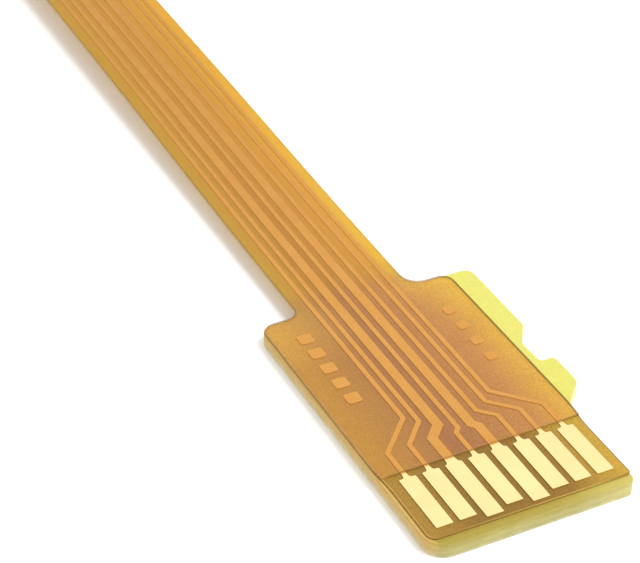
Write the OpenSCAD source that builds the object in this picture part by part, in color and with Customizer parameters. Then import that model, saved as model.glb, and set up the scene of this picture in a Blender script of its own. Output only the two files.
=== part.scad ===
// Flat flex extension cable: card-shaped plug end, flat tail and card socket end.
// X runs across the cable, Y runs from the plug tip along the cable, Z up.
// Origin: middle of the contact row at the film's front edge, on the table.

/* [Plug film] */
// Width of the film over the contacts
film_w = 9.56; // [9:0.02:10]
// Width of the film behind the contacts
film_w_rear = 9.8; // [9:0.02:10.5]
// Front edge of the film to its shoulder
head_len = 16.08; // [12:0.02:20]
// Thickness of the base film
film_t = 0.06; // [0.03:0.01:0.2]
// Thickness of the coverlay over the base film
cover_t = 0.08; // [0.06:0.01:0.2]
// Where the coverlay starts behind the contacts
cover_y = 4.2; // [3:0.05:6]

/* [Contacts] */
// Spacing of the contacts
pitch = 1.1; // [1:0.05:1.3]
// Width of a contact pad
pad_w = 0.8; // [0.5:0.02:0.9]
// Front end of a signal pad
pad_y = 0.52; // [0.2:0.01:1]
// Front end of a power pad
pad_y_power = 0.21; // [0.1:0.01:1]
// Rear end of the pads
pad_end = 3.8; // [3:0.05:4.1]
// Width of a signal trace
trace_w = 0.22; // [0.1:0.01:0.4]
// Width of a power trace
trace_w_power = 0.46; // [0.2:0.01:0.6]
// Thickness of the copper with its plating
copper_t = 0.04; // [0.02:0.01:0.06]

/* [Plug stiffener] */
// Thickness of the plug stiffener and of the socket board
stiff_t = 0.72; // [0.4:0.01:1]
// Thickness of the bonding sheets
bond_t = 0.05; // [0.02:0.01:0.1]
// Left side of the stiffener
stiff_left = -4.92; // [-5.5:0.01:-4.8]
// Right side of the stiffener beside the contacts
stiff_right = 4.78; // [4.6:0.01:5]
// Right side of the stiffener at its wide part
stiff_wide = 6.15; // [5.8:0.01:6.5]
// How far the stiffener stands out in front of the film
stiff_front = 0.45; // [0:0.01:0.8]
// Rear edge of the stiffener
stiff_rear = 16.2; // [14:0.05:18]

/* [Tail] */
// Width of the tail
tail_w = 5.72; // [4:0.02:8]
// Sideways place of the tail's middle
tail_x = -0.06; // [-1:0.01:1]
// Whole length of the cable, film end to film end
cable_len = 150; // [150:1:150]

/* [Socket end] */
// Length of the socket board
board_len = 19; // [19:0.5:19]
// Width of the socket board
board_w = 16.6; // [16:0.1:20]
// Height of the socket over the film
sock_h = 1.74; // [1.5:0.01:2.2]
// Thickness of the socket shell
shell_t = 0.15; // [0.1:0.01:0.3]
// Thickness of the socket base's floor
floor_t = 0.35; // [0.2:0.01:0.5]
// Width of a spring contact
spring_w = 0.4; // [0.2:0.01:0.5]
// Thickness of a spring contact
spring_t = 0.15; // [0.1:0.01:0.2]

/* [Hidden] */
// heights of the layers where the film lies on a stiffener
z_bond = stiff_t;
z_film = z_bond + bond_t;
z_cu = z_film + film_t;
z_cutop = z_cu + copper_t;
z_top = z_cu + cover_t;
// height of the tail over its level at the two ends, at each Y
tail_route = [[16.2, 0], [18, 0], [24, 0.05], [30, 0.19], [36, 0.35], [44, 0.48], [52, 0.56], [62, 0.6], [72, 0.6], [82, 0.56], [92, 0.46], [102, 0.32], [110, 0.19], [118, 0.07], [128, 0], [130.8, 0]];
// X of each trace on the tail
tail_tx = [-2.14, -1.63, -1, -0.32, 0.33, 0.97, 1.65, 2.15];
// where each trace leaves its pad's line and where it reaches the tail's line
fan_y0 = [5.56, 5.66, 5.62, 5.5, 5.5, 5.78, 5.72, 5.6];
fan_y1 = [7.38, 6.9, 6.32, 5.76, 5.74, 6.46, 6.85, 7.4];
// plain marks: X, Y and size
marks_l = [[-3.45, 9.6], [-3.45, 10.8], [-3.45, 12], [-3.45, 13.2], [-3.45, 14.4]];
marks_r = [[3.55, 9.6], [3.55, 10.9], [3.55, 12.2], [3.55, 13.5]];
mark_l = 0.7;
mark_r = 0.56;
// socket end
board_y0 = cable_len - board_len;
sock_y0 = board_y0 + 4.2;
sock_y1 = cable_len - 0.6;
sock_w = 14.1;
cav_w = 11.3;
wall_y1 = sock_y0 + 1.4;
z_roof = z_top + sock_h - shell_t;
z_sock = z_top + sock_h;
foot_y = [sock_y0 + 2.2, sock_y0 + 10.6];
foot_l = 1.2;

function unit(a, b) = (b - a) / norm(b - a);
function right_of(d) = [d[1], -d[0]];
// points beside a line at distance h, mitred at its corners
function beside(P, h) = [for (i = [0:len(P) - 1])
  i == 0 ? P[0] + h * right_of(unit(P[0], P[1])) :
  i == len(P) - 1 ? P[i] + h * right_of(unit(P[i - 1], P[i])) :
  let (m = right_of(unit(P[i - 1], P[i])) + right_of(unit(P[i], P[i + 1]))) P[i] + m * (2 * h / (m * m))];
function back(L) = [for (i = [len(L) - 1:-1:0]) L[i]];
// arc that rounds corner b between a and c
function corner(a, b, c, r, n) =
  let (u = unit(b, a), v = unit(b, c), h = acos(u * v) / 2,
    m = unit([0, 0], u + v), o = b + m * (r / sin(h)),
    p = b + u * (r / tan(h)) - o, q = b + v * (r / tan(h)) - o,
    t = atan2(p[1], p[0]), w = atan2(q[1], q[0]) - t,
    s = w > 180 ? w - 360 : w < -180 ? w + 360 : w)
  [for (k = [0:n]) o + r * [cos(t + s * k / n), sin(t + s * k / n)]];
// outline with each corner rounded by its third value
function rounded(P, n = 6) = [for (i = [0:len(P) - 1])
  let (a = P[(i + len(P) - 1) % len(P)], b = P[i], c = P[(i + 1) % len(P)])
  each (b[2] > 0 ? corner([a[0], a[1]], [b[0], b[1]], [c[0], c[1]], b[2], n) : [[b[0], b[1]]])];

function pad_x(i) = (i - 4.5) * pitch;
function is_power(i) = i == 3 || i == 5;
function tw(i) = is_power(i) ? trace_w_power : trace_w;
// trace i from its pad to the tail, pad and neck included
function head_line(i) = [[pad_x(i), cover_y - 0.1], [pad_x(i), fan_y0[i - 1]], [tail_tx[i - 1], fan_y1[i - 1]], [tail_tx[i - 1], head_len + 1.5]];
function half_pad(i, s) =
  let (x = pad_x(i), y = is_power(i) ? pad_y_power : pad_y, p = pad_w / 2, k = tw(i) / 2 + 0.01)
  [[x + s * (p - 0.03), y], [x + s * (p - 0.01), y + 0.01], [x + s * p, y + 0.03], [x + s * p, pad_end - 0.06],
   [x + s * (p - 0.02), pad_end - 0.01], [x + s * (p - 0.07), pad_end], [x + s * (k + 0.08), pad_end + 0.01], [x + s * (k + 0.03), pad_end + 0.05], [x + s * k, pad_end + 0.16]];
function head_trace(i) = concat(half_pad(i, 1), beside(head_line(i), tw(i) / 2), back(beside(head_line(i), -tw(i) / 2)), back(half_pad(i, -1)));
function far_line(i) = let (d = abs(pad_x(i) - tail_tx[i - 1]))
  [[tail_tx[i - 1], board_y0 - 1.5], [tail_tx[i - 1], board_y0 + 2 - d], [pad_x(i), board_y0 + 2], [pad_x(i), board_y0 + 2.7]];
function far_pad(i, s) = let (x = pad_x(i)) [[x + s * 0.3, board_y0 + 2.72], [x + s * 0.3, board_y0 + 4.1]];
function far_trace(i) = concat(beside(far_line(i), tw(i) / 2), far_pad(i, 1), back(far_pad(i, -1)), back(beside(far_line(i), -tw(i) / 2)));

// outline of the film's head with the root of the tail
function film_head() = let (w = film_w / 2, v = film_w_rear / 2, a = tail_x - tail_w / 2, b = tail_x + tail_w / 2)
  rounded([[-w, 0, 0.4], [w, 0, 0.16], [w, 3.3, 0], [w + 0.03, 4, 0], [v - 0.02, 4.8, 0], [v, 5.4, 0], [v, head_len, 0.6], [b, head_len, 0.9], [b, head_len + 1.5, 0],
    [a, head_len + 1.5, 0], [a, head_len, 0.65], [-v, head_len, 0.6], [-v, 5.4, 0], [-v + 0.02, 4.8, 0], [-w - 0.03, 4, 0], [-w, 3.3, 0]]);
function film_far() = let (h = board_w / 2 - 0.1, a = tail_x - tail_w / 2, b = tail_x + tail_w / 2, y = board_y0 + 0.1, z = cable_len)
  rounded([[a, y - 2.4, 0], [b, y - 2.4, 0], [b, y, 1], [h, y, 0.9], [h, z, 0.9], [-h, z, 0.9], [-h, y, 0.9], [a, y, 1]]);

// strip of the tail between x0 and x1, from height za to zb over the tail's route
module strip(x0, x1, za, zb)
  translate([x0, 0, 0]) rotate([90, 0, 90]) linear_extrude(x1 - x0)
    polygon(concat([for (p = tail_route) [p[0], p[1] + za]], [for (p = back(tail_route)) [p[0], p[1] + zb]]));

module plate(P, za, zb) translate([0, 0, za]) linear_extrude(zb - za) polygon(P);

// trace i, its underside lowered by d for cutting
module trace(i, d = 0) {
  x = tail_tx[i - 1]; h = tw(i) / 2;
  plate(head_trace(i), z_cu - d, z_cutop);
  strip(x - h, x + h, z_cu - d, z_cutop);
  plate(far_trace(i), z_cu - d, z_cutop);
}
function mark_c(k) = k <= 5 ? marks_l[k - 1] : marks_r[k - 6];
function mark_s(k) = (k <= 5 ? mark_l : mark_r) / 2;
module mark(k, d = 0) {
  c = mark_c(k); s = mark_s(k);
  plate(rounded([[c[0] - s, c[1] - s, 0.12], [c[0] + s, c[1] - s, 0.12], [c[0] + s, c[1] + s, 0.12], [c[0] - s, c[1] + s, 0.12]], 3), z_cu - d, z_cutop);
}
function foot_side(k) = k % 2 == 1 ? -1 : 1;
function foot_c(k) = foot_y[k <= 2 ? 0 : 1];
// box between two X and two Y values measured outward from the middle on side s
module side_box(s, x0, x1, y0, y1, za, zb)
  translate([s > 0 ? x0 : -x1, y0, za]) cube([x1 - x0, y1 - y0, zb - za]);
module anchor_pad(k, d = 0)
  side_box(foot_side(k), sock_w / 2 - 0.1, sock_w / 2 + 1.05, foot_c(k) - 0.85, foot_c(k) + 0.85, z_cu - d, z_cutop);
module foot_solder(k) {
  s = foot_side(k); x = sock_w / 2; f = x + 0.55; c = foot_c(k);
  translate([0, c + foot_l / 2 + 0.05, 0]) rotate([90, 0, 0]) linear_extrude(foot_l + 0.1)
    polygon([for (p = [[x, z_cutop], [f + 0.35, z_cutop], [f + 0.3, z_cutop + 0.03], [f + 0.15, z_cutop + 0.09], [f, z_top + spring_t], [f, z_top], [x, z_top]]) [s * p[0], p[1]]]);
}
module spring(i) {
  x = pad_x(i) - spring_w / 2; y = sock_y0; t = spring_t;
  translate([x, 0, 0]) rotate([90, 0, 90]) linear_extrude(spring_w)
    polygon([[y - 1.2, z_top], [y + 1.8, z_top], [y + 2.2, z_top + 0.04], [y + 4.9, z_top + 0.66], [y + 5.2, z_top + 0.68], [y + 5.5, z_top + 0.62], [y + 6.1, z_top + 0.34],
      [y + 6.2, z_top + 0.46], [y + 5.6, z_top + 0.76], [y + 5.2, z_top + 0.84], [y + 4.8, z_top + 0.82], [y + 2.1, z_top + 0.2], [y + 1.7, z_top + t], [y - 1.2, z_top + t]]);
}
module solder(i) {
  y = sock_y0 - 1.2;
  translate([pad_x(i) - 0.26, 0, 0]) rotate([90, 0, 90]) linear_extrude(0.52)
    polygon([[y - 0.3, z_cutop], [y + 0.95, z_cutop], [y + 0.95, z_top], [y, z_top], [y, z_top + spring_t], [y - 0.1, z_top + 0.1], [y - 0.2, z_top + 0.03], [y - 0.28, z_cutop + 0.02]]);
}

module card_stiffener() color([0.78, 0.76, 0.45])
  plate(rounded([[stiff_left, -stiff_front, 0.95], [stiff_right, -stiff_front, 0.4], [stiff_right, 5.05, 0.2], [stiff_wide, 6.42, 0.7], [stiff_wide, 8.42, 0.25],
    [5.42, 8.42, 0.2], [5.36, 9.9, 0.5], [stiff_wide, 11.15, 0.4], [stiff_wide, stiff_rear, 0.45], [stiff_left, stiff_rear, 0.55]]), 0, z_bond);

module card_bond() color([0.85, 0.8, 0.6])
  plate(rounded([[-4.7, 0.06, 0.36], [4.7, 0.06, 0.12], [4.7, 3.4, 0], [4.84, 5.4, 0], [4.84, 16, 0.5], [-4.84, 16, 0.5], [-4.84, 5.4, 0], [-4.7, 3.4, 0]]), z_bond, z_film);

module base_film() color([0.82, 0.55, 0.2]) union() {
  plate(film_head(), z_film, z_cu);
  strip(tail_x - tail_w / 2, tail_x + tail_w / 2, z_film, z_cu);
  plate(film_far(), z_film, z_cu);
}

module coverlay() color([0.85, 0.6, 0.25, 0.6]) difference() {
  union() {
    intersection() {
      plate(film_head(), z_cu, z_top);
      translate([-6, cover_y, z_cu]) cube([12, 20, cover_t]);
    }
    strip(tail_x - tail_w / 2, tail_x + tail_w / 2, z_cu, z_top);
    plate(film_far(), z_cu, z_top);
  }
  for (i = [1:8]) trace(i, 0.02);
  for (k = [1:9]) mark(k, 0.02);
  translate([-4.5, board_y0 + 2.6, z_cu - 0.02]) cube([9, 1.55, cover_t + 0.04]);
  for (k = [1:4]) side_box(foot_side(k), sock_w / 2 - 0.1, sock_w / 2 + 1.05, foot_c(k) - 0.85, foot_c(k) + 0.85, z_cu - 0.02, z_top + 0.02);
}

module socket_board() color([0.78, 0.76, 0.45])
  plate(rounded([[-board_w / 2, board_y0, 1], [board_w / 2, board_y0, 1], [board_w / 2, cable_len + 0.1, 1], [-board_w / 2, cable_len + 0.1, 1]]), 0, z_bond);

module board_bond() color([0.85, 0.8, 0.6])
  plate(rounded([[-board_w / 2 + 0.15, board_y0 + 0.15, 0.85], [board_w / 2 - 0.15, board_y0 + 0.15, 0.85], [board_w / 2 - 0.15, cable_len - 0.05, 0.85], [-board_w / 2 + 0.15, cable_len - 0.05, 0.85]]), z_bond, z_film);

module socket_base() color([0.12, 0.12, 0.12]) {
  w = sock_w / 2 - shell_t;
  difference() {
    translate([-w, sock_y0, z_top]) cube([2 * w, sock_y1 - sock_y0 - 0.4, z_roof - z_top]);
    translate([-cav_w / 2, wall_y1, z_top + floor_t]) cube([cav_w, 30, 3]);
    for (i = [1:8]) {
      translate([pad_x(i) - spring_w / 2, sock_y0 - 1, z_top - 1]) cube([spring_w, 3, 1 + spring_t]);
      translate([pad_x(i) - 0.3, wall_y1, z_top - 1]) cube([0.6, 5.2, 3]);
    }
    translate([-3, wall_y1 + 7, z_top - 1]) cube([6, 2.4, 3]);
  }
}

module socket_shell() color([0.75, 0.76, 0.78]) {
  w = sock_w / 2;
  difference() {
    translate([-w, sock_y0 + 0.4, z_top + 0.05]) cube([2 * w, sock_y1 - sock_y0 - 0.4, sock_h - 0.05]);
    translate([-w + shell_t, sock_y0 - 1, z_top - 1]) cube([2 * w - 2 * shell_t, 30, 1 + sock_h - shell_t]);
    // U-shaped slots of the two hold-down tongues
    for (s = [-1, 1]) translate([s * 3.2, sock_y0 + 4, z_roof - 0.5]) {
      translate([-0.9, 0, 0]) cube([0.25, 4, 2]);
      translate([0.65, 0, 0]) cube([0.25, 4, 2]);
      translate([-0.9, 0, 0]) cube([1.8, 0.25, 2]);
    }
    // finger recess at the mouth
    translate([0, sock_y1 + 1.2, z_roof - 0.5]) cylinder(h = 2, r = 3.4, $fn = 64);
    // index holes
    for (s = [-1, 1]) translate([s * 5.2, sock_y0 + 2, z_roof - 0.5]) cylinder(h = 2, r = 0.4, $fn = 32);
  }
  for (k = [1:4]) side_box(foot_side(k), w - shell_t, w + 0.55, foot_c(k) - foot_l / 2, foot_c(k) + foot_l / 2, z_top, z_top + shell_t);
}

module trace_1() color([0.9, 0.72, 0.35]) union() trace(1);
module trace_2() color([0.9, 0.72, 0.35]) union() trace(2);
module trace_3() color([0.9, 0.72, 0.35]) union() trace(3);
module trace_4() color([0.9, 0.72, 0.35]) union() trace(4);
module trace_5() color([0.9, 0.72, 0.35]) union() trace(5);
module trace_6() color([0.9, 0.72, 0.35]) union() trace(6);
module trace_7() color([0.9, 0.72, 0.35]) union() trace(7);
module trace_8() color([0.9, 0.72, 0.35]) union() trace(8);
module mark_1() color([0.85, 0.6, 0.3]) mark(1);
module mark_2() color([0.85, 0.6, 0.3]) mark(2);
module mark_3() color([0.85, 0.6, 0.3]) mark(3);
module mark_4() color([0.85, 0.6, 0.3]) mark(4);
module mark_5() color([0.85, 0.6, 0.3]) mark(5);
module mark_6() color([0.85, 0.6, 0.3]) mark(6);
module mark_7() color([0.85, 0.6, 0.3]) mark(7);
module mark_8() color([0.85, 0.6, 0.3]) mark(8);
module mark_9() color([0.85, 0.6, 0.3]) mark(9);
module spring_1() color([0.9, 0.78, 0.45]) spring(1);
module spring_2() color([0.9, 0.78, 0.45]) spring(2);
module spring_3() color([0.9, 0.78, 0.45]) spring(3);
module spring_4() color([0.9, 0.78, 0.45]) spring(4);
module spring_5() color([0.9, 0.78, 0.45]) spring(5);
module spring_6() color([0.9, 0.78, 0.45]) spring(6);
module spring_7() color([0.9, 0.78, 0.45]) spring(7);
module spring_8() color([0.9, 0.78, 0.45]) spring(8);
module solder_1() color([0.75, 0.76, 0.78]) solder(1);
module solder_2() color([0.75, 0.76, 0.78]) solder(2);
module solder_3() color([0.75, 0.76, 0.78]) solder(3);
module solder_4() color([0.75, 0.76, 0.78]) solder(4);
module solder_5() color([0.75, 0.76, 0.78]) solder(5);
module solder_6() color([0.75, 0.76, 0.78]) solder(6);
module solder_7() color([0.75, 0.76, 0.78]) solder(7);
module solder_8() color([0.75, 0.76, 0.78]) solder(8);
module anchor_pad_1() color([0.9, 0.78, 0.45]) anchor_pad(1);
module anchor_pad_2() color([0.9, 0.78, 0.45]) anchor_pad(2);
module anchor_pad_3() color([0.9, 0.78, 0.45]) anchor_pad(3);
module anchor_pad_4() color([0.9, 0.78, 0.45]) anchor_pad(4);
module foot_solder_1() color([0.75, 0.76, 0.78]) foot_solder(1);
module foot_solder_2() color([0.75, 0.76, 0.78]) foot_solder(2);
module foot_solder_3() color([0.75, 0.76, 0.78]) foot_solder(3);
module foot_solder_4() color([0.75, 0.76, 0.78]) foot_solder(4);

card_stiffener();
card_bond();
base_film();
coverlay();
trace_1();
trace_2();
trace_3();
trace_4();
trace_5();
trace_6();
trace_7();
trace_8();
mark_1();
mark_2();
mark_3();
mark_4();
mark_5();
mark_6();
mark_7();
mark_8();
mark_9();
socket_board();
board_bond();
socket_base();
socket_shell();
spring_1();
spring_2();
spring_3();
spring_4();
spring_5();
spring_6();
spring_7();
spring_8();
solder_1();
solder_2();
solder_3();
solder_4();
solder_5();
solder_6();
solder_7();
solder_8();
anchor_pad_1();
anchor_pad_2();
anchor_pad_3();
anchor_pad_4();
foot_solder_1();
foot_solder_2();
foot_solder_3();
foot_solder_4();
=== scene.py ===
import math

import bpy
import bmesh
from mathutils import Matrix, Vector


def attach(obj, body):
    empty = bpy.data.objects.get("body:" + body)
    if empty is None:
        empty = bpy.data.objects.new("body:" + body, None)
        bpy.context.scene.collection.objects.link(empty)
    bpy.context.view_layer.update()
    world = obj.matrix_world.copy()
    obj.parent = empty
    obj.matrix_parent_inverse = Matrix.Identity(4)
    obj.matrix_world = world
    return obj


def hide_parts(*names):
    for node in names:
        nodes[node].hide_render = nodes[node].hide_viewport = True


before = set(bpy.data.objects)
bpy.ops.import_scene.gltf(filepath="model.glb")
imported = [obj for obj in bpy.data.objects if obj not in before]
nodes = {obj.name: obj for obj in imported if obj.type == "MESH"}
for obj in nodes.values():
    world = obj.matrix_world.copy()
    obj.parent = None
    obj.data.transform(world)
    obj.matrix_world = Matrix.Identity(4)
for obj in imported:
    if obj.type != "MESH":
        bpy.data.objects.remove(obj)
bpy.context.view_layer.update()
scene = bpy.context.scene
scene.view_settings.view_transform = "Standard"
MM = 0.001
TOP = 0.87 * MM  # height of the contacts over the table

# ---------------------------------------------------------------- camera
cam_data = bpy.data.cameras.new("camera")
cam_data.sensor_width = 36
cam_data.lens = 116.03
cam_data.clip_start = 0.005
cam_data.clip_end = 5
cam = bpy.data.objects.new("camera", cam_data)
scene.collection.objects.link(cam)
fwd = Vector((0.360, 0.734, -0.576)).normalized()
right = Vector((0.898, -0.440, 0)).normalized()
up = right.cross(fwd).normalized()
right = fwd.cross(up).normalized()
m = Matrix.Identity(4)
for i in range(3):
    m[i][0], m[i][1], m[i][2] = right[i], up[i], -fwd[i]
m.translation = Vector((-36.08, -53.64, 56.37)) * MM + Vector((0, 0, TOP))
cam.matrix_world = m
scene.camera = cam


# ---------------------------------------------------------------- film, coverlay and cord
CUT = 129.2 * MM
RIM = 0.042 * MM


def top_skin(node, low, high):
    """A bmesh of the upward faces of a node between two Y values."""
    bm = bmesh.new()
    bm.from_mesh(nodes[node].data)
    bmesh.ops.delete(bm, geom=[f for f in bm.faces if f.normal.z < 0.5], context="FACES")
    for y, outer in ((low, False), (high, True)):
        bmesh.ops.bisect_plane(
            bm, geom=bm.verts[:] + bm.edges[:] + bm.faces[:], dist=1e-8, plane_co=(0, y, 0),
            plane_no=(0, 1, 0), clear_outer=outer, clear_inner=not outer)
    bmesh.ops.remove_doubles(bm, verts=bm.verts[:], dist=1e-8)
    return bm


def slab(name, bm, thick, seams=(), front_wall=3):
    """A closed sheet under an upward skin, with a narrow rim of its own material along its cut edges."""
    for f in bm.faces:
        f.material_index = 0
        f.smooth = True
    ring = bmesh.ops.inset_region(bm, faces=bm.faces[:], thickness=RIM, use_even_offset=True, use_boundary=True)
    for f in ring["faces"]:
        at_seam = any(abs(f.calc_center_median().y - y) < RIM * 0.8 for y in seams)
        f.material_index = 0 if at_seam else 1
    edges = [e for e in bm.edges if e.is_boundary]
    low = bmesh.ops.duplicate(bm, geom=bm.faces[:])
    twin = {v: low["vert_map"][v] for e in edges for v in e.verts}
    low_faces = [g for g in low["geom"] if isinstance(g, bmesh.types.BMFace)]
    for v in [g for g in low["geom"] if isinstance(g, bmesh.types.BMVert)]:
        v.co.z -= thick
    for f in low_faces:
        f.material_index = 2
    bmesh.ops.reverse_faces(bm, faces=low_faces)
    for e in edges:
        p, q = e.verts
        f = bm.faces.new((p, q, twin[q], twin[p]))
        f.material_index = 3
        f.smooth = False
    bmesh.ops.recalc_face_normals(bm, faces=bm.faces[:])
    for f in bm.faces:
        if f.material_index == 3 and f.normal.x > -0.5:
            f.material_index = front_wall
    me = bpy.data.meshes.new(name)
    bm.to_mesh(me)
    bm.free()
    ob = bpy.data.objects.new(name, me)
    scene.collection.objects.link(ob)
    return ob


FILM_T, COVER_T = 0.06 * MM, 0.078 * MM
film = slab("flex_film", top_skin("base_film", -1, CUT), FILM_T, [CUT])
film_end = slab("flex_film_end", top_skin("base_film", CUT, 1), FILM_T, [CUT])
cover_ob = slab("flex_coverlay", top_skin("coverlay", -1, 1), COVER_T, front_wall=1)
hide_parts("base_film")
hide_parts("base_film")
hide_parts("coverlay")
for o in (film, film_end, cover_ob):
    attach(o, "root")

# ---------------------------------------------------------------- materials
def new_mat(name):
    mat = bpy.data.materials.new(name)
    mat.use_nodes = True
    nt = mat.node_tree
    nt.nodes.clear()
    out = nt.nodes.new("ShaderNodeOutputMaterial")
    p = nt.nodes.new("ShaderNodeBsdfPrincipled")
    nt.links.new(p.outputs[0], out.inputs[0])
    return mat, nt, p, out


def lin(r, g, b):
    """8-bit display colour to scene-linear."""
    def f(c):
        c /= 255
        return c / 12.92 if c <= 0.04045 else ((c + 0.055) / 1.055) ** 2.4
    return (f(r), f(g), f(b), 1)


def noise(nt, scale, detail=3, rough=0.55, vec=None):
    n = nt.nodes.new("ShaderNodeTexNoise")
    n.inputs["Scale"].default_value = scale
    n.inputs["Detail"].default_value = detail
    n.inputs["Roughness"].default_value = rough
    if vec is not None:
        nt.links.new(vec, n.inputs["Vector"])
    return n


def coords(nt):
    t = nt.nodes.new("ShaderNodeTexCoord")
    return t.outputs["Object"]


def ramp(nt, fac, stops):
    r = nt.nodes.new("ShaderNodeValToRGB")
    e = r.color_ramp.elements
    while len(e) < len(stops):
        e.new(0.5)
    for k, (pos, col) in zip(e, stops):
        k.position, k.color = pos, col
    nt.links.new(fac, r.inputs[0])
    return r.outputs[0]


def maprange(nt, v, a, b, c=0.0, d=1.0):
    n = nt.nodes.new("ShaderNodeMapRange")
    nt.links.new(v, n.inputs[0])
    for i, x in zip((1, 2, 3, 4), (a, b, c, d)):
        n.inputs[i].default_value = x
    return n.outputs[0]


def mix(nt, fac, a, b, blend="MIX"):
    n = nt.nodes.new("ShaderNodeMix")
    n.data_type = "RGBA"
    n.blend_type = blend
    for sock, v in ((n.inputs[0], fac), (n.inputs[6], a), (n.inputs[7], b)):
        if hasattr(v, "links"):
            nt.links.new(v, sock)
        else:
            sock.default_value = v
    return n.outputs[2]


def math_node(nt, op, a, b=None):
    n = nt.nodes.new("ShaderNodeMath")
    n.operation = op
    for i, v in enumerate((a, b)):
        if v is None:
            continue
        if hasattr(v, "links"):
            nt.links.new(v, n.inputs[i])
        else:
            n.inputs[i].default_value = v
    return n.outputs[0]


def bump(nt, p, height, strength, dist):
    b = nt.nodes.new("ShaderNodeBump")
    b.inputs["Strength"].default_value = strength
    b.inputs["Distance"].default_value = dist
    nt.links.new(height, b.inputs["Height"])
    nt.links.new(b.outputs[0], p.inputs["Normal"])


def give(names, mat):
    for n in names:
        o = nodes[n] if isinstance(n, str) else n
        if o.data.materials:
            o.data.materials.clear()
        o.data.materials.append(mat)


def axis_of(nt, c):
    s = nt.nodes.new("ShaderNodeSeparateXYZ")
    nt.links.new(c, s.inputs[0])
    return s.outputs


def along(nt, v, low, high, stops):
    """Colours at positions in mm along one axis."""
    t = maprange(nt, v, low * MM, high * MM)
    return ramp(nt, t, [((a - low) / (high - low), lin(*b)) for a, b in stops])


def grey(nt, v):
    g = nt.nodes.new("ShaderNodeCombineColor")
    for i in range(3):
        nt.links.new(v, g.inputs[i])
    return g.outputs[0]


def speckle(nt, c, col, scale, amount, detail=4):
    """Fine unevenness of colour."""
    n = noise(nt, scale, detail, 0.6, c)
    v = maprange(nt, n.outputs[0], 0.3, 0.7, 1 - amount, 1 + amount)
    return mix(nt, 1.0, col, grey(nt, v), "MULTIPLY"), n


def stretch(nt, c, x, y, z):
    m = nt.nodes.new("ShaderNodeMapping")
    m.inputs["Scale"].default_value = (x, y, z)
    nt.links.new(c, m.inputs["Vector"])
    return m.outputs[0]


def plain(p, rough, spec=0.5):
    p.inputs["Roughness"].default_value = rough
    p.inputs["Specular IOR Level"].default_value = spec


# bare glass-epoxy board: pale yellow-green on the side tab; the ledge in front of the film is painted a darker olive
# as painted shade, lighter towards the right as painted light, and a strip along the left edge is painted lighter as
# painted light
fr4, nt, p, _ = new_mat("fr4")
c = coords(nt)
x, y, z = axis_of(nt, c)
# painted shade: the ledge darker olive than the tab, lightening towards the right as painted light
ledge = along(nt, x, -5, 5, [(-4, (175, 155, 65)), (1, (175, 155, 65)), (4.5, (205, 190, 95))])
col = mix(nt, maprange(nt, y, -0.1 * MM, 0.6 * MM), ledge, lin(225, 220, 105))
# painted light: a lighter strip along the left edge of the top
col = mix(nt, maprange(nt, x, -4.5 * MM, -4.7 * MM), col, lin(215, 180, 100))
n2 = noise(nt, 260, 2, 0.5, c)
col = mix(nt, maprange(nt, n2.outputs[0], 0.4, 0.7, 0.0, 0.1), col, lin(230, 230, 135))
col, n1 = speckle(nt, c, col, 5000, 0.05)
nt.links.new(col, p.inputs["Base Color"])
plain(p, 0.5, 0.3)
bump(nt, p, n1.outputs[0], 0.2, 0.00001)

# its routed edge: bands that meet in ragged lines, with streaks of glass fibre; on the plug also painted light,
# lighter and more amber on the left face, lighter towards the right of the front and palest on the right face
def routed_edge(name, plug_painted_light):
    mat, nt, p, _ = new_mat(name)
    c = coords(nt)
    x, y, z = axis_of(nt, c)
    rag = noise(nt, 1, 4, 0.7, stretch(nt, c, 1500, 1500, 400))
    zz = math_node(nt, "ADD", z, maprange(nt, rag.outputs[0], 0.25, 0.75, -0.1 * MM, 0.1 * MM))
    col = along(nt, zz, 0, 0.72, [(0, (210, 205, 165)), (0.2, (195, 185, 120)), (0.35, (200, 190, 125)), (0.6, (190, 175, 95))])
    if plug_painted_light:
        # painted light: the left face lighter and more amber than the front
        side = along(nt, zz, 0, 0.72, [(0, (240, 230, 190)), (0.25, (225, 195, 135)), (0.7, (215, 175, 95))])
        col = mix(nt, maprange(nt, x, -4.85 * MM, -4.4 * MM), side, col)
        # painted light: the front lighter towards the right, and the right face palest
        col = mix(nt, maprange(nt, x, 2 * MM, 4.6 * MM, 0.0, 0.5), col, lin(240, 230, 160))
        col = mix(nt, maprange(nt, x, 5 * MM, 5.6 * MM), col, lin(250, 245, 190))
    st = noise(nt, 1, 5, 0.65, stretch(nt, c, 900, 900, 8000))
    v = maprange(nt, st.outputs[0], 0.3, 0.7, 0.86, 1.12)
    col = mix(nt, 1.0, col, grey(nt, v), "MULTIPLY")
    nt.links.new(col, p.inputs["Base Color"])
    plain(p, 0.7, 0.2)
    bump(nt, p, st.outputs[0], 0.5, 0.00002)
    return mat


fr4_edge_with_painted_light = routed_edge("fr4_edge_with_painted_light", True)
board_edge = routed_edge("board_edge", False)


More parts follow.
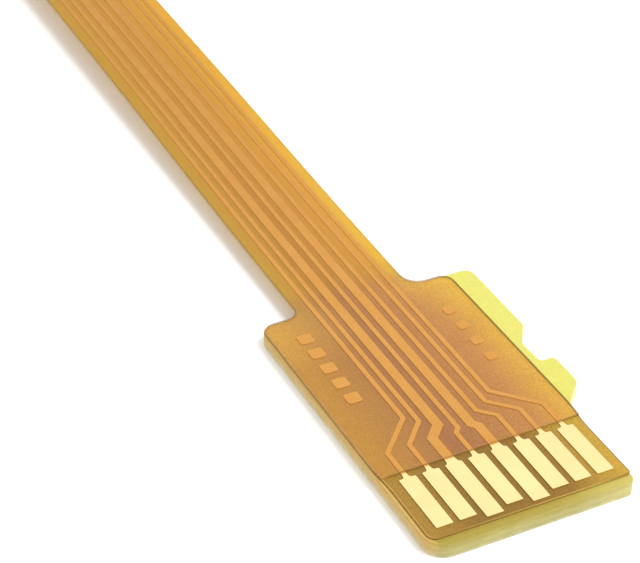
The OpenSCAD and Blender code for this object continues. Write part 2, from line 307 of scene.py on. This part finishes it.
# amber film: bare by the contacts, under the coverlay on the plug, and on the free tail, with painted light and shade
# across its width
def film_amber_and_painted_light(nt, c):
    x, y, z = axis_of(nt, c)
    bare = along(nt, x, -5, 5, BARE_AMBER_AND_PAINTED_LIGHT)
    head = along(nt, x, -5, 5, HEAD_AMBER_AND_PAINTED_LIGHT)
    rear = along(nt, x, -5, 5, REAR_AMBER_AND_PAINTED_LIGHT)
    near = along(nt, x, -3, 3, TAIL_NEAR_AMBER_AND_PAINTED_LIGHT)
    far = along(nt, x, -3, 3, TAIL_FAR_AMBER_AND_PAINTED_LIGHT)
    col = mix(nt, maprange(nt, y, 4.2 * MM, 4.22 * MM), bare, head)
    col = mix(nt, maprange(nt, y, 12 * MM, 16 * MM), col, rear)
    col = mix(nt, maprange(nt, y, 15 * MM, 19 * MM), col, near)
    col = mix(nt, maprange(nt, y, 22 * MM, 42 * MM), col, far)
    col = mix(nt, maprange(nt, y, 118 * MM, 130 * MM), col, lin(205, 145, 60))
    n = noise(nt, 700, 3, 0.5, c)
    col = mix(nt, 1.0, col, grey(nt, maprange(nt, n.outputs[0], 0.3, 0.7, 0.97, 1.03)), "MULTIPLY")
    return speckle(nt, c, col, 15000, 0.2, 2)[0], y


def lit_through(nt, p, out, amount, colour):
    """Mix some light from the other side into a surface."""
    tr = nt.nodes.new("ShaderNodeBsdfTranslucent")
    tr.inputs[0].default_value = colour
    sm = nt.nodes.new("ShaderNodeMixShader")
    if hasattr(amount, "links"):
        nt.links.new(amount, sm.inputs[0])
    else:
        sm.inputs[0].default_value = amount
    nt.links.new(p.outputs[0], sm.inputs[1])
    nt.links.new(tr.outputs[0], sm.inputs[2])
    nt.links.new(sm.outputs[0], out.inputs[0])


# painted light and shade: each list runs across the film's width, lighter towards the right edge; on the plug also
# lighter at the left edge with a darker middle, on the far tail darker on the left
BARE_AMBER_AND_PAINTED_LIGHT = [(-4.5, (165, 125, 40)), (-2.5, (140, 105, 30)), (2, (145, 105, 30)), (4.5, (195, 155, 50))]
HEAD_AMBER_AND_PAINTED_LIGHT = [(-4.5, (195, 145, 60)), (-1, (160, 105, 75)), (3, (200, 140, 80)), (4.6, (230, 185, 70))]
REAR_AMBER_AND_PAINTED_LIGHT = [(-4.5, (225, 180, 75)), (-0.5, (160, 110, 75)), (2, (195, 135, 80)), (4.6, (240, 200, 70))]
TAIL_NEAR_AMBER_AND_PAINTED_LIGHT = [(-2.8, (180, 140, 80)), (-1, (180, 110, 75)), (2, (225, 160, 85)), (2.7, (245, 210, 85))]
TAIL_FAR_AMBER_AND_PAINTED_LIGHT = [(-2.8, (165, 115, 50)), (-0.5, (195, 125, 60)), (2.7, (230, 160, 55))]

base, nt, p, out = new_mat("polyimide_base")
col, y = film_amber_and_painted_light(nt, coords(nt))
nt.links.new(col, p.inputs["Base Color"])
plain(p, 0.4, 0.25)
lit_through(nt, p, out, maprange(nt, y, 16.2 * MM, 18 * MM, 0.0, 0.46), lin(255, 230, 95))

# the underside passes most of the light that falls on it
under, nt, p, out = new_mat("polyimide_under")
c = coords(nt)
col, n1 = speckle(nt, c, lin(205, 150, 75), 7000, 0.06, 2)
nt.links.new(col, p.inputs["Base Color"])
plain(p, 0.4, 0.25)
x, y, z = axis_of(nt, c)
lit_through(nt, p, out, maprange(nt, y, 16.2 * MM, 17.5 * MM, 0.0, 0.92), lin(255, 245, 110))

# translucent amber coverlay
cover, nt, p, out = new_mat("polyimide_cover")
c = coords(nt)
col, n1 = speckle(nt, c, lin(210, 150, 60), 15000, 0.3, 2)
nt.links.new(col, p.inputs["Base Color"])
p.inputs["Alpha"].default_value = 0.2
plain(p, 0.3, 0.25)
n2 = noise(nt, 500, 2, 0.5, c)
bump(nt, p, n2.outputs[0], 0.05, 0.00001)


clear, nt, p, out = new_mat("polyimide_cover_under")
c = coords(nt)
col, n1 = speckle(nt, c, lin(210, 150, 60), 12000, 0.1, 2)
nt.links.new(col, p.inputs["Base Color"])
p.inputs["Alpha"].default_value = 0.05
plain(p, 0.3, 0.25)


def edge_colour_and_painted_light(nt, x, y):
    """Cut edges: dark along the plug's front and right side, the cut edge's own darkness deepened by painted shade;
    painted light on its left; on the tail painted shade in olive on the left turning to painted light in gold on the
    right.
    """
    plug = along(nt, x, -5, 5, [(-4.7, (205, 155, 80)), (-4.3, (160, 125, 60)), (3.2, (190, 155, 75)), (4.7, (130, 95, 45))])
    free = along(nt, x, -5, 5, [(-1, (150, 115, 50)), (2, (240, 195, 75))])
    return mix(nt, maprange(nt, y, 17 * MM, 18 * MM), plug, free)


# film rim: painted light and shade along the cut edges
rim, nt, p, _ = new_mat("film_edge_with_painted_light")
c = coords(nt)
x, y, z = axis_of(nt, c)
col, n1 = speckle(nt, c, edge_colour_and_painted_light(nt, x, y), 3000, 0.12)
nt.links.new(col, p.inputs["Base Color"])
plain(p, 0.5, 0.2)

# cut walls of the film, coloured with painted light and shade: on the plug lightest towards the right and darker at
# both sides, on the tail olive on the left turning gold on the right
wall, nt, p, _ = new_mat("film_wall_with_painted_light")
c = coords(nt)
x, y, z = axis_of(nt, c)
plug = along(nt, x, -5, 5, [(-4.7, (185, 140, 75)), (0, (200, 165, 90)), (3.4, (225, 190, 95)), (4.7, (190, 150, 75))])
free = along(nt, x, -5, 5, [(-1, (185, 145, 65)), (2, (245, 205, 90))])
col, n1 = speckle(nt, c, mix(nt, maprange(nt, y, 15 * MM, 17 * MM), plug, free), 3000, 0.12)
nt.links.new(col, p.inputs["Base Color"])
plain(p, 0.5, 0.2)

# coverlay rim: the same painted light and shade, partly see-through
cover_rim, nt, p, _ = new_mat("coverlay_edge_with_painted_light")
c = coords(nt)
x, y, z = axis_of(nt, c)
col, n1 = speckle(nt, c, edge_colour_and_painted_light(nt, x, y), 3000, 0.12)
nt.links.new(col, p.inputs["Base Color"])
p.inputs["Alpha"].default_value = 0.6
plain(p, 0.5, 0.2)

# bonding sheet
bond, nt, p, _ = new_mat("bond_sheet")
c = coords(nt)
col, n1 = speckle(nt, c, lin(220, 180, 105), 500, 0.08)
nt.links.new(col, p.inputs["Base Color"])
plain(p, 0.5, 0.3)


def metal(name, a, b, rough, scale=600, metallic=1.0):
    mat, nt, p, _ = new_mat(name)
    c = coords(nt)
    n = noise(nt, scale, 3, 0.55, c)
    nt.links.new(ramp(nt, n.outputs[0], [(0.3, a), (0.7, b)]), p.inputs["Base Color"])
    p.inputs["Metallic"].default_value = metallic
    nt.links.new(maprange(nt, n.outputs[0], 0.3, 0.7, rough * 0.85, rough * 1.15), p.inputs["Roughness"])
    return mat


gold = metal("gold_plating", lin(240, 220, 155), lin(245, 230, 165), 0.3)
copper, nt, p, _ = new_mat("trace_copper")
c = coords(nt)
x, y, z = axis_of(nt, c)
n1 = noise(nt, 900, 4, 0.6, c)
near = ramp(nt, n1.outputs[0], [(0.3, lin(225, 160, 65)), (0.7, lin(230, 170, 80))])
far = ramp(nt, n1.outputs[0], [(0.3, lin(205, 145, 50)), (0.7, lin(210, 155, 50))])
col = mix(nt, maprange(nt, y, 14 * MM, 40 * MM), near, far)
col, n2 = speckle(nt, c, col, 15000, 0.16, 2)
nt.links.new(col, p.inputs["Base Color"])
p.inputs["Metallic"].default_value = 0.2
plain(p, 0.5, 0.5)
# painted light: the left walls of the traces under the coverlay get a colour of their own, set light so their shade
# hardly shows
copper_side_painted_light = metal("copper_side_painted_light", lin(215, 155, 85), lin(220, 160, 90), 0.6, metallic=0.1)
# painted shade: the left walls of the bare contact pads are painted dark brown
pad_side_painted_shade = metal("pad_side_painted_shade", lin(115, 85, 35), lin(130, 95, 40), 0.6, metallic=0.1)
steel = metal("shell_steel", lin(200, 200, 205), lin(205, 205, 210), 0.34, 5000)
tin = metal("solder", lin(205, 205, 210), lin(225, 225, 230), 0.22)
spring = metal("spring_alloy", lin(235, 205, 120), lin(245, 215, 135), 0.3)

black, nt, p, _ = new_mat("black_moulding")
c = coords(nt)
n1 = noise(nt, 1500, 3, 0.6, c)
nt.links.new(ramp(nt, n1.outputs[0], [(0.3, lin(25, 25, 25)), (0.7, lin(35, 35, 35))]), p.inputs["Base Color"])
plain(p, 0.5)
bump(nt, p, n1.outputs[0], 0.2, 0.00002)

give([film, film_end, "base_film"], base)
give([cover_ob, "coverlay"], cover)
for o in (film, film_end):
    for mat in (rim, under, wall):
        o.data.materials.append(mat)
for mat in (cover_rim, clear, wall):
    cover_ob.data.materials.append(mat)
give(["card_bond", "board_bond"], bond)
for n, edge in (("card_stiffener", fr4_edge_with_painted_light), ("socket_board", board_edge)):
    o = nodes[n]
    give([o], fr4)
    o.data.materials.append(edge)
    for f in o.data.polygons:
        f.material_index = 1 if abs(f.normal.z) < 0.5 else 0
# left-facing trace walls get painted shade on the bare pads and painted light under the coverlay
for i in range(1, 9):
    o = nodes[f"trace_{i}"]
    give([o], copper)
    for mat in (gold, pad_side_painted_shade, copper_side_painted_light):
        o.data.materials.append(mat)
    for f in o.data.polygons:
        bare_here = f.center.y < 4.18 * MM or f.center.y > 133.6 * MM
        left = f.normal.x < -0.5
        f.material_index = (2 if left else 1) if bare_here else (3 if left else 0)
give([f"mark_{k}" for k in range(1, 10)], copper)
give([f"anchor_pad_{k}" for k in range(1, 5)], gold)
give(["socket_base"], black)
give(["socket_shell"], steel)
give([f"spring_{k}" for k in range(1, 9)], spring)
give([f"solder_{k}" for k in range(1, 9)] + [f"foot_solder_{k}" for k in range(1, 5)], tin)

# ---------------------------------------------------------------- floor and light
me = bpy.data.meshes.new("floor")
s = 2.0
me.from_pydata([(-s, -s, 0), (s, -s, 0), (s, s, 0), (-s, s, 0)], [], [(0, 1, 2, 3)])
floor = bpy.data.objects.new("floor", me)
scene.collection.objects.link(floor)
fm, nt, p, _ = new_mat("floor")
p.inputs["Base Color"].default_value = (0.9, 0.9, 0.9, 1)
p.inputs["Roughness"].default_value = 0.8
p.inputs["Emission Color"].default_value = (1, 1, 1, 1)
p.inputs["Emission Strength"].default_value = 0.16
me.materials.append(fm)

world = bpy.data.worlds.new("world")
scene.world = world
world.use_nodes = True
world.node_tree.nodes["Background"].inputs[0].default_value = (1, 1, 1, 1)
world.node_tree.nodes["Background"].inputs[1].default_value = 0.62


def area(name, loc, target, size, power, colour=(1, 1, 1)):
    d = bpy.data.lights.new(name, "AREA")
    d.energy, d.size, d.color = power, size, colour
    o = bpy.data.objects.new(name, d)
    scene.collection.objects.link(o)
    o.location = loc
    o.rotation_mode = "QUATERNION"
    o.rotation_quaternion = (Vector(target) - Vector(loc)).to_track_quat("-Z", "Y")
    return o


# a broad softbox that the contacts mirror, and a smaller key from above, in front and a little to the right
area("softbox", (0.33, 0.66, 0.52), (0, 0.01, 0), 1.0, 1.85)
area("key", (0.24, -0.27, 0.76), (0, 0.03, 0), 0.3, 3.8)
